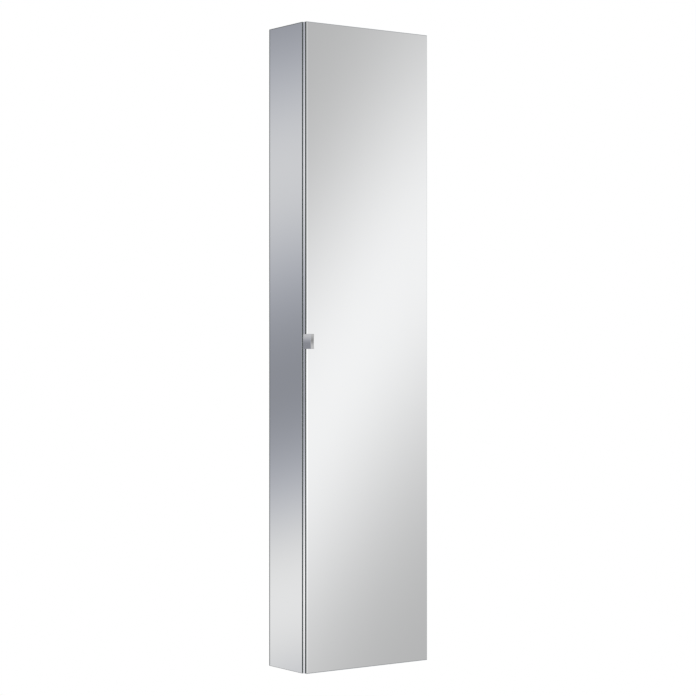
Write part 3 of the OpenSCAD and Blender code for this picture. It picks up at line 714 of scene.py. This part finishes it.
def moulded(name, colour, roughness, sheen=0.03):
    """Moulded plastic with a fine spark-eroded surface."""
    finish = Finish(name, colour, roughness)
    spark = finish.noise(0.35 * MM, detail=3)
    flow = finish.noise(14 * MM)
    finish.set("Base Color", flow.tint(*shades(colour, 0.025)))
    finish.set("Roughness", spark.between(roughness - sheen, roughness + sheen))
    finish.bump(spark, 0.012 * MM)
    return finish.material


def rubber():
    """Black rubber: matt, with a bloom and fine lines from the die."""
    finish = Finish("rubber", (0.022, 0.023, 0.024), 0.6)
    die = finish.noise(0.4 * MM, detail=3, stretch=(1, 1, 1000))
    bloom = finish.noise(10 * MM, detail=3)
    finish.set("Base Color", bloom.tint((0.018, 0.019, 0.020), (0.032, 0.033, 0.034)))
    finish.set("Roughness", die.between(0.48, 0.68))
    finish.bump(die, 0.02 * MM)
    return finish.material


def clear_rubber():
    """Soft clear rubber of the door bumpers."""
    finish = Finish("clear_rubber", (0.86, 0.88, 0.88), 0.3)
    haze = finish.noise(1.5 * MM, detail=3)
    finish.set("Transmission Weight", 0.75)
    finish.set("IOR", 1.45)
    finish.set("Roughness", haze.between(0.2, 0.4))
    finish.set("Base Color", haze.tint((0.84, 0.86, 0.86), (0.90, 0.92, 0.92)))
    return finish.material


def wood(name, light, dark, grain):
    """Wood or fibre: streaks of two tones that run along X, with pores."""
    finish = Finish(name, light, 0.6)
    streaks = finish.noise(grain, detail=4, stretch=(12, 1, 1))
    finish.set("Base Color", streaks.tint(dark, light))
    finish.set("Roughness", streaks.between(0.5, 0.7))
    finish.bump(streaks, 0.05 * MM)
    return finish.material


# Mirrors and glass


def pane(node, facing, outline, width, shifts, lines=(DARK_LINE,)):
    """A mirror in layers: painted back, ground rim, polished arris of a width, lines and silver.
    Each line comes with its own width at each corner, as a shift of the corner."""
    low, high = faced_box(node, facing)
    back = BACK_ARRIS * width
    layers = [(back, low[2]), (0.0, low[2] + back), (0.0, high[2] - width), (width, high[2])]
    layers += [(width, high[2])] * len(lines)
    kinds = [PAINT, RIM, RIM, ARRIS, *lines, SILVER]
    return layered(outline, layers, facing, kinds, np.cumsum(shifts, 0))


def edge_widths(left, bottom, right, top):
    """Shifts of a rectangle's corners for a line with its own width along each edge."""
    return np.array([[left, bottom], [-right, bottom], [-right, -top], [left, -top]])


def side_mirrors(finishes):
    """The two tall mirrors on the cabinet's sides. Each has its widest dark line along the edge towards
    the wall, which lies on the left of the left one and on the right of the right one."""
    wall_lines = {"left": (SIDE_WALL_LINE, NO_LINE), "right": (NO_LINE, SIDE_WALL_LINE)}
    for side in SIDES:
        node = f"side_mirror_{side}"
        left, right = wall_lines[side]
        widths = edge_widths(left, SIDE_BOTTOM_LINE, right, SIDE_TOP_LINE)
        form = pane(node, side, rectangle(*faced_box(node, side)), SIDE_ARRIS, [widths])
        show(f"{node}_pane", form, node, *finishes)


def door_mirror(finishes):
    """The door's tall front mirror, with a painted highlight, a strip of brighter metal, along its free
    edge.
    """
    outline = rectangle(*faced_box("door_mirror", "front"))
    dark = edge_widths(NO_LINE, DOOR_BOTTOM_LINE, DOOR_RIGHT_LINE, DOOR_TOP_LINE)
    # Painted highlight along the free edge
    bright = edge_widths(DOOR_BRIGHT_LINE, NO_LINE, NO_LINE, NO_LINE)
    form = pane("door_mirror", "front", outline, DOOR_ARRIS, [dark, bright], (DARK_LINE, BRIGHT_LINE))
    show("door_mirror_pane", form, "door_mirror", *finishes)


def inner_mirror(finishes):
    """The mirror inside the door, cut out round the four hinge inserts, which lie on its left
    as the door's rear is seen."""
    node = "door_inner_mirror"
    low, high = faced_box(node, "rear")
    outline = [rectangle(low, high)]
    for hinge in reversed(HINGES):
        seat_low, seat_high = faced_box(f"hinge_insert_{hinge}", "rear")
        inner, bottom, top = seat_high[0] + INSERT_GAP, seat_low[1] - INSERT_GAP, seat_high[1] + INSERT_GAP
        outline.append([[low[0], top], [inner, top], [inner, bottom], [low[0], bottom]])
    outline = np.concatenate(outline)
    form = pane(node, "rear", outline, INNER_ARRIS, [INNER_LINE * mitres(outline)])
    show("door_inner_mirror_pane", form, node, *finishes)


def glass_shelves():
    """Five clear shelves with polished green edges and rounded corners."""
    glass, edge = clear_glass(), green_edge()
    for shelf in SHELVES:
        node = f"glass_shelf_{shelf}"
        low, high = faced_box(node, "up")
        layers = [
            (SHELF_ARRIS, low[2]), (0.0, low[2] + SHELF_ARRIS),
            (0.0, high[2] - SHELF_ARRIS), (SHELF_ARRIS, high[2]),
        ]
        outline = rounded(rectangle(low, high), SHELF_CORNER)
        show(f"{node}_sheet", layered(outline, layers, "up", [0, 1, 1, 1, 0]), node, glass, edge)


# Door edge, seals and handle


def edge_strips():
    """Four bright aluminium strips round the door, with slightly rounded edges."""
    for side, along in (("left", "z"), ("right", "z"), ("top", "x"), ("bottom", "x")):
        node = f"door_edge_{side}"
        facing = "up" if along == "z" else "right"
        form = bar(*faced_box(node, facing), facing, STRIP_EDGE)
        show(f"{node}_strip", form, node, bright_aluminium(f"bright_aluminium_{side}", along))


def dust_seal(finish):
    """Soft strip whose front is a round lip: two corners at the board, and a half ellipse."""
    low, high = faced_box("dust_seal", "up")
    middle, half = (low[0] + high[0]) / 2, (high[0] - low[0]) / 2
    root = high[1] - SEAL_FOOT
    angle = np.linspace(0, math.pi, SEAL_PLACES)
    lip = np.stack([middle - half * np.cos(angle), root - (root - low[1]) * np.sin(angle)], 1)
    outline = np.concatenate([lip, [[high[0], high[1]], [low[0], high[1]]]])
    form = layered(outline, [(0, low[2]), (0, high[2])], "up")
    show("dust_seal_strip", form, "dust_seal", finish, crease=SEAL_CREASE)


def bumpers(finish):
    """Two soft dots near the ends of the door's free edge. Their edges are quarter ellipses."""
    low, high = faced_box("door_bumpers", "rear")
    radius, depth = (high[0] - low[0]) / 2, high[2] - low[2]
    angle = np.radians(np.linspace(0, BUMPER_ARC, BUMPER_RINGS))
    across = 1 - BUMPER_ROUND_ACROSS * (1 - np.cos(angle))
    out = 1 - BUMPER_ROUND_DEEP * (1 - np.sin(angle))
    across = radius * np.concatenate([[1], across, [BUMPER_FLAT]])
    out = depth * np.concatenate([[0], out, [1]])
    heights = (low[1] + radius, high[1] - radius)
    forms = [turned(across, out, (-(low[0] + radius), low[2], z), "rear") for z in heights]
    show("door_bumper_dots", joined(forms), "door_bumpers", finish)


def crown(heights):
    """How far the handle's outer face falls back: a parabola that starts below the middle."""
    low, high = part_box("door_handle")
    return GRIP_CROWN * np.maximum(heights - (low[2] + high[2]) / 2 - GRIP_CREST, 0) ** 2


def grip_shape(points, box, mirror_front, door_side):
    """Shapes the handle's plain rings. Its front is hollowed by a cylinder that lies along X, and
    slants back towards the mirror. Its outer face is crowned from top to bottom."""
    low, high = box
    rise = points[..., 2] - (low[2] + high[2]) / 2
    hollow = np.sqrt(np.maximum(SCOOP_RADIUS**2 - rise**2, 0)) - (SCOOP_RADIUS - SCOOP_DEPTH)
    ahead = np.clip((mirror_front - points[..., 1]) / (mirror_front - low[1]), 0, 1)
    slant = FRONT_SLANT * (points[..., 0] - low[0])
    points[..., 1] += ahead * (np.maximum(hollow, 0) + slant)
    outer = np.clip((door_side - points[..., 0]) / (door_side - low[0]), 0, 1)
    points[..., 0] += outer * (crown(points[..., 2]) + SCREW_PROUD)
    return points


def handle(finish):
    """Chrome handle: an L-shaped section with rounded corners, whose short leg is the foot on the
    door's edge, carried up its height, rounded at both ends and shaped as grip_shape says."""
    low, high = (np.array(corner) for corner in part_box("door_handle"))
    door_side, mirror_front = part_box("door_mirror")[0][:2]
    section = np.array([
        [low[0], low[1]], [high[0], low[1]], [high[0], mirror_front],
        [door_side, mirror_front], [door_side, high[1]], [low[0], high[1]],
    ])
    left = np.linspace(high[1] - GRIP_EDGE, low[1] + GRIP_EDGE, GRIP_COLUMNS)[1:-1]
    left = np.stack([np.full(len(left), low[0]), left], 1)
    outline = np.concatenate([rounded(section, GRIP_EDGE), left])
    rows = np.linspace(low[2] + GRIP_EDGE, high[2] - GRIP_EDGE, GRIP_ROWS)[1:-1]
    end = round_over(GRIP_EDGE * GRIP_END)
    layers = [(inset, low[2] + rise) for inset, rise in end]
    layers += [(0, z) for z in rows]
    layers += [(inset, high[2] - rise) for inset, rise in end[::-1]]
    points, groups = layered(outline, layers, "up")
    points = grip_shape(points, (low, high), mirror_front, door_side)
    show("door_handle_grip", (points, groups), "door_handle", finish)


# Screws


def cross_head(facing, centre, head, height, shaft, length, dome=DOME, rim=DOMED_RIM):
    """Cross-headed screw. From its tip, a shaft and a head run up to a dome, which falls off with
    the square of the distance from the middle, and is sunk inside a cross of two bars. The head
    has its full width between the two shares of its height in rim."""
    angle = np.linspace(0, 2 * math.pi, HEAD_PLACES, endpoint=False)
    share = HEAD_RINGS[:, None]
    x, y = share * np.cos(angle), share * np.sin(angle)
    far, near = np.maximum(abs(x), abs(y)), np.minimum(abs(x), abs(y))
    inside_end = np.clip((CROSS_REACH - far) / CROSS_END_WALL, 0, 1)
    inside_bar = np.clip((CROSS_HALF_WIDTH - near) / CROSS_SIDE_WALL, 0, 1)
    top = height * (1 - dome * share**2 - CROSS_DEPTH * inside_end * inside_bar)
    plain = np.ones((1, HEAD_PLACES))
    radius = 0.5 * np.array([[TIP_RADIUS * shaft], [shaft], [shaft], [head], [head]])
    rise = np.array([[-length], [TIP_LENGTH * shaft - length], [0], [rim[0] * height], [rim[1] * height]])
    radius = np.concatenate([radius * plain, 0.5 * head * share * plain])
    return turned(radius, np.concatenate([rise * plain, top]), centre, facing, HEAD_PLACES)


def hinge_heights():
    """Height of each hinge, from its insert in the door."""
    return [sum(corner[2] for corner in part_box(f"hinge_insert_{hinge}")) / 2 for hinge in HINGES]


def screw_seats(node, head, height, facing):
    """Middle of each hinge screw's seat, and the length below it, from the box round all of them.
    A hinge has one or two screws above each other, and one or two beside each other."""
    low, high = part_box(node)
    spread = high[2] - head / 2 - hinge_heights()[-1]
    ups = (-spread, spread) if spread > head / 2 else (0.0,)
    heights = [z + up for z in hinge_heights() for up in ups]
    if facing == "rear":
        seat = high[1] - height
        return [((low[0] + high[0]) / 2, seat, z) for z in heights], seat - low[1]
    seat = low[0] + height
    depths = sorted({round(low[1] + head / 2, 6), round(high[1] - head / 2, 6)})
    return [(seat, y, z) for z in heights for y in depths], high[0] - seat


def hinge_screws(finish):
    """Cross-headed screws of the hinges: two in each plate, in each arm and in each cup."""
    for node, (head, height, shaft, facing) in HINGE_SCREWS.items():
        places, length = screw_seats(node, head, height, facing)
        forms = [cross_head(facing, place, head, height, shaft, length) for place in places]
        show(f"{node}_crossed", joined(forms), node, finish)


def handle_screws(finish):
    """Two flat-headed screws, whose heads follow the crowned face of the handle's foot."""
    low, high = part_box("handle_screws")
    head, shaft = high[1] - low[1], GRIP_SCREW_SHAFT
    height = (head - shaft) / 2
    seat, middle = low[0] + height, (low[1] + high[1]) / 2
    heights = (low[2] + head / 2, high[2] - head / 2)
    forms = [
        cross_head("left", (seat, middle, z), head, height, shaft, high[0] - seat, 0.0, FLAT_RIM)
        for z in heights
    ]
    points, groups = joined(forms)
    points[:, 0] += crown(points[:, 2])
    show("handle_screws_crossed", (points, groups), "handle_screws", finish)


# The whole cabinet


def mirrors_and_glass():
    """The four mirrors, which share six finishes, and the shelves."""
    # The fifth finish is a painted highlight: brighter metal along the door mirror's free edge
    finishes = mirror_paint(), glass_rim(), arris(), dark_edge_line(), painted_edge_highlight(), silver()
    side_mirrors(finishes)
    door_mirror(finishes)
    inner_mirror(finishes)
    glass_shelves()


def door_trim():
    """Strips, seals, bumpers and handle at the door's edge."""
    edge_strips()
    black = rubber()
    dust_seal(black)
    coat(black, "mirror_gasket")
    bumpers(clear_rubber())
    shiny = chrome()
    handle(shiny)
    handle_screws(shiny)


def boards():
    """Carcass boards, back panel, the door's core and the dowels keep their CAD shape."""
    coat(melamine(), "side_board_left", "side_board_right", "top_board", "bottom_board")
    coat(lacquered_board(), "back_panel")
    coat(wood("fibre_board", (0.50, 0.38, 0.25), (0.40, 0.29, 0.18), 1.2 * MM), "door_core")
    coat(wood("beech", (0.72, 0.53, 0.34), (0.60, 0.42, 0.25), 0.9 * MM), "wood_dowels")


def hinges():
    """Four hinges of nickelled steel, each with a moulded insert in the door."""
    nickel = plated("hinge_nickel", (0.62, 0.61, 0.59), 0.10, 0.24)
    grey = moulded("grey_plastic", (0.50, 0.51, 0.53), 0.5)
    for hinge in HINGES:
        softened(f"hinge_arm_{hinge}_pressed", f"hinge_arm_{hinge}", nickel)
        softened(f"hinge_cup_{hinge}_drawn", f"hinge_cup_{hinge}", nickel)
        softened(f"hinge_plate_{hinge}_pressed", f"hinge_plate_{hinge}", nickel)
        softened(f"hinge_insert_{hinge}_moulded", f"hinge_insert_{hinge}", grey)
    hinge_screws(nickel)
    coat(nickel, "hinge_pins")


def fittings():
    """Shelf supports, board joints, and what holds the cabinet on the wall."""
    nickel = plated("nickel", (0.62, 0.61, 0.59), 0.12, 0.24)
    casting = plated("die_cast", (0.55, 0.56, 0.58), 0.35, 0.50)
    galvanised = zinc()
    white = moulded("white_plastic", (0.80, 0.80, 0.79), 0.38)
    dark = moulded("dark_plastic", (0.05, 0.05, 0.055), 0.55)
    softened("shelf_support_pins", "shelf_supports", nickel)
    coat(nickel, "cam_bolts")
    softened("cam_disc_castings", "cam_discs", casting)
    for side in SIDES:
        softened(f"hanger_body_{side}_cast", f"hanger_body_{side}", casting)
        softened(f"hanger_hook_{side}_bent", f"hanger_hook_{side}", galvanised)
        softened(f"hanger_cover_{side}_moulded", f"hanger_cover_{side}", white, steps=3)
    softened("hanger_screws_slotted", "hanger_screws", galvanised)
    softened("wall_rail_folded", "wall_rail", galvanised)
    softened("wall_spacer_pads", "wall_spacers", dark)
    coat(galvanised, "corner_keys")


# Camera, studio and floor


def camera():
    """The photograph's camera: level, at half the cabinet's height, turned to the right."""
    lens = bpy.data.cameras.new("camera")
    lens.sensor_width = SENSOR
    lens.lens = FOCAL_PIXELS * SENSOR / PHOTO_PIXELS
    holder = place_in_scene("camera", lens)
    holder.location = CAMERA_PLACE
    holder.rotation_euler = (math.radians(90), 0.0, -YAW)
    bpy.context.scene.camera = holder


def directions(tree):
    """Of the direction in which the studio is seen: its slope, which is its rise over its level
    run, its turn from straight ahead of the cabinet, and a share that is 1 behind the cabinet."""
    place = Value(tree.nodes.new("ShaderNodeTexCoord").outputs["Generated"])
    split = tree.nodes.new("ShaderNodeSeparateXYZ")
    connect(tree, place, split.inputs["Vector"])
    x, y, z = (Value(split.outputs[axis]) for axis in "XYZ")
    run = (x * x + y * y).math("SQRT").math("MAXIMUM", LEAST_RUN)
    return z / run, x.math("ARCTAN2", y * -1.0), y.rise(*BEHIND_EDGE)


def studio_ahead(slope, turn):
    """Ahead of the cabinet: one broad soft light that leans across the studio, a low light on its
    left, and a panel with a dark middle on its right."""
    lean = ((turn.math("ABSOLUTE") - YAW) * BROAD_PACE).math("TANH") * (BROAD_LEAN / BROAD_PACE)
    broad = (slope - lean).glow(*BROAD_BAND) + BROAD_LEVEL
    low_light = (slope * -1.0).rise(*LOW_EDGE) * slope.glow(*LOW_BAND) + LOW_LEVEL
    ahead = broad.towards(low_light, (turn - LOW_TURN).bell(LOW_SPREAD))
    ahead = ahead.fade(slope, *AHEAD_HIGH).fade(slope * -1.0, *AHEAD_LOW)
    panel = slope.glow(*PANEL_BAND) + PANEL_LEVEL
    return ahead.towards(panel, (turn - PANEL_TURN).bell(PANEL_SPREAD) * slope.bell(PANEL_HEIGHT))


def studio_behind(slope, turn):
    """Behind the cabinet: two level bands of light on a dusky wall, which tilt with the turn."""
    tilted = slope + (turn.math("ABSOLUTE") - (math.pi - YAW)) * DUSK_TILT
    behind = tilted.glow(*UPPER_BAND) + tilted.glow(*LOWER_BAND) + DUSK_LEVEL
    return behind.fade(slope, *BEHIND_HIGH).fade(slope * -1.0, *BEHIND_LOW)


def studio_brightness(tree):
    """What the mirrors see, by direction, and a share that is 0 where it is dusky. High up and
    low down lie wide soft bands, which are a cosine of the angle above or below level."""
    slope, turn, back = directions(tree)
    value = studio_ahead(slope, turn).towards(studio_behind(slope, turn), back)
    steep = slope.math("ABSOLUTE")
    wave = ((steep.math("ARCTANGENT") - STEEP_MIDDLE) * STEEP_COUNT).math("COSINE")
    value = value.towards(wave * STEEP_SWING + STEEP_LEVEL, steep.rise(*STEEP_EDGE))
    bright = value.rise(*DUSK_EDGE)
    return value / SILVER_SHARE, bright.math("MAXIMUM", back * -1.0 + 1.0)


def background(tree, colour, strength):
    """Light of a colour and a strength from the world."""
    node = tree.nodes.new("ShaderNodeBackground")
    connect(tree, colour, node.inputs["Color"])
    connect(tree, strength, node.inputs["Strength"])
    return node.outputs["Background"]


def world():
    """Pale studio. The camera and clear glass see plain white, matt surfaces get even light, and
    metal and mirrors see studio_brightness."""
    studio = bpy.data.worlds.new("studio")
    bpy.context.scene.world = studio
    studio.use_nodes = True
    tree = studio.node_tree
    tree.nodes.clear()
    brightness, warmth = studio_brightness(tree)
    seen = background(tree, warmth.tint(DUSK_BLUE, WHITE), brightness)
    even = background(tree, (*WHITE, 1.0), EVEN_LIGHT)
    white = background(tree, (*WHITE, 1.0), 1.0)
    rays = tree.nodes.new("ShaderNodeLightPath").outputs
    plain = Value(rays["Is Camera Ray"]).math("MAXIMUM", Value(rays["Is Transmission Ray"]))
    lit = mixed(tree, Value(rays["Is Diffuse Ray"]), seen, even)
    out = tree.nodes.new("ShaderNodeOutputWorld")
    tree.links.new(mixed(tree, plain, lit, white), out.inputs["Surface"])


def sun():
    """One broad soft lamp, from the front, the left and above."""
    lamp = bpy.data.lights.new("soft_lamp", "SUN")
    lamp.energy = LAMP_STRENGTH
    lamp.angle = LAMP_WIDTH
    holder = place_in_scene("soft_lamp", lamp)
    holder.rotation_euler = LAMP_TURN
    holder.visible_glossy = False


def floor_finish():
    """Pale matt floor that fades to white all round, and is clear from underneath."""
    finish = Finish("pale_floor", (0.86, 0.86, 0.86), 0.9)
    cloud = finish.noise(400 * MM, detail=3)
    finish.set("Base Color", cloud.tint((0.85, 0.85, 0.85), (0.87, 0.87, 0.87)))
    finish.set("Specular IOR Level", 0.0)
    split = finish.add("ShaderNodeSeparateXYZ", Vector=finish.place)
    x, y = Value(split.outputs["X"]), Value(split.outputs["Y"])
    far = (x * x + y * y).math("SQRT").rise(*FLOOR_FADE)
    glow = finish.add("ShaderNodeEmission", Color=(*WHITE, 1.0), Strength=1.0)
    upper = mixed(finish.tree, far, finish.shader.outputs["BSDF"], glow.outputs["Emission"])
    below = Value(finish.add("ShaderNodeNewGeometry").outputs["Backfacing"])
    clear = finish.add("ShaderNodeBsdfTransparent").outputs["BSDF"]
    surface = finish.tree.nodes["Material Output"].inputs["Surface"]
    finish.tree.links.new(mixed(finish.tree, below, upper, clear), surface)
    return finish.material


def floor():
    """Level sheet below the cabinet, which takes the cabinet's shadow."""
    height = cad_box[0][2] - FLOOR_DROP
    corners = rectangle((-FLOOR_SIZE, -FLOOR_SIZE), (FLOOR_SIZE, FLOOR_SIZE))
    mesh = bpy.data.meshes.new("floor")
    mesh.from_pydata([(*corner, height) for corner in corners.tolist()], [], [(0, 1, 2, 3)])
    mesh.materials.append(floor_finish())
    sheet = place_in_scene("floor", mesh)
    sheet.visible_glossy = False


camera()
mirrors_and_glass()
door_trim()
boards()
hinges()
fittings()
world()
sun()
floor()
bpy.context.scene.view_settings.view_transform = "Standard"
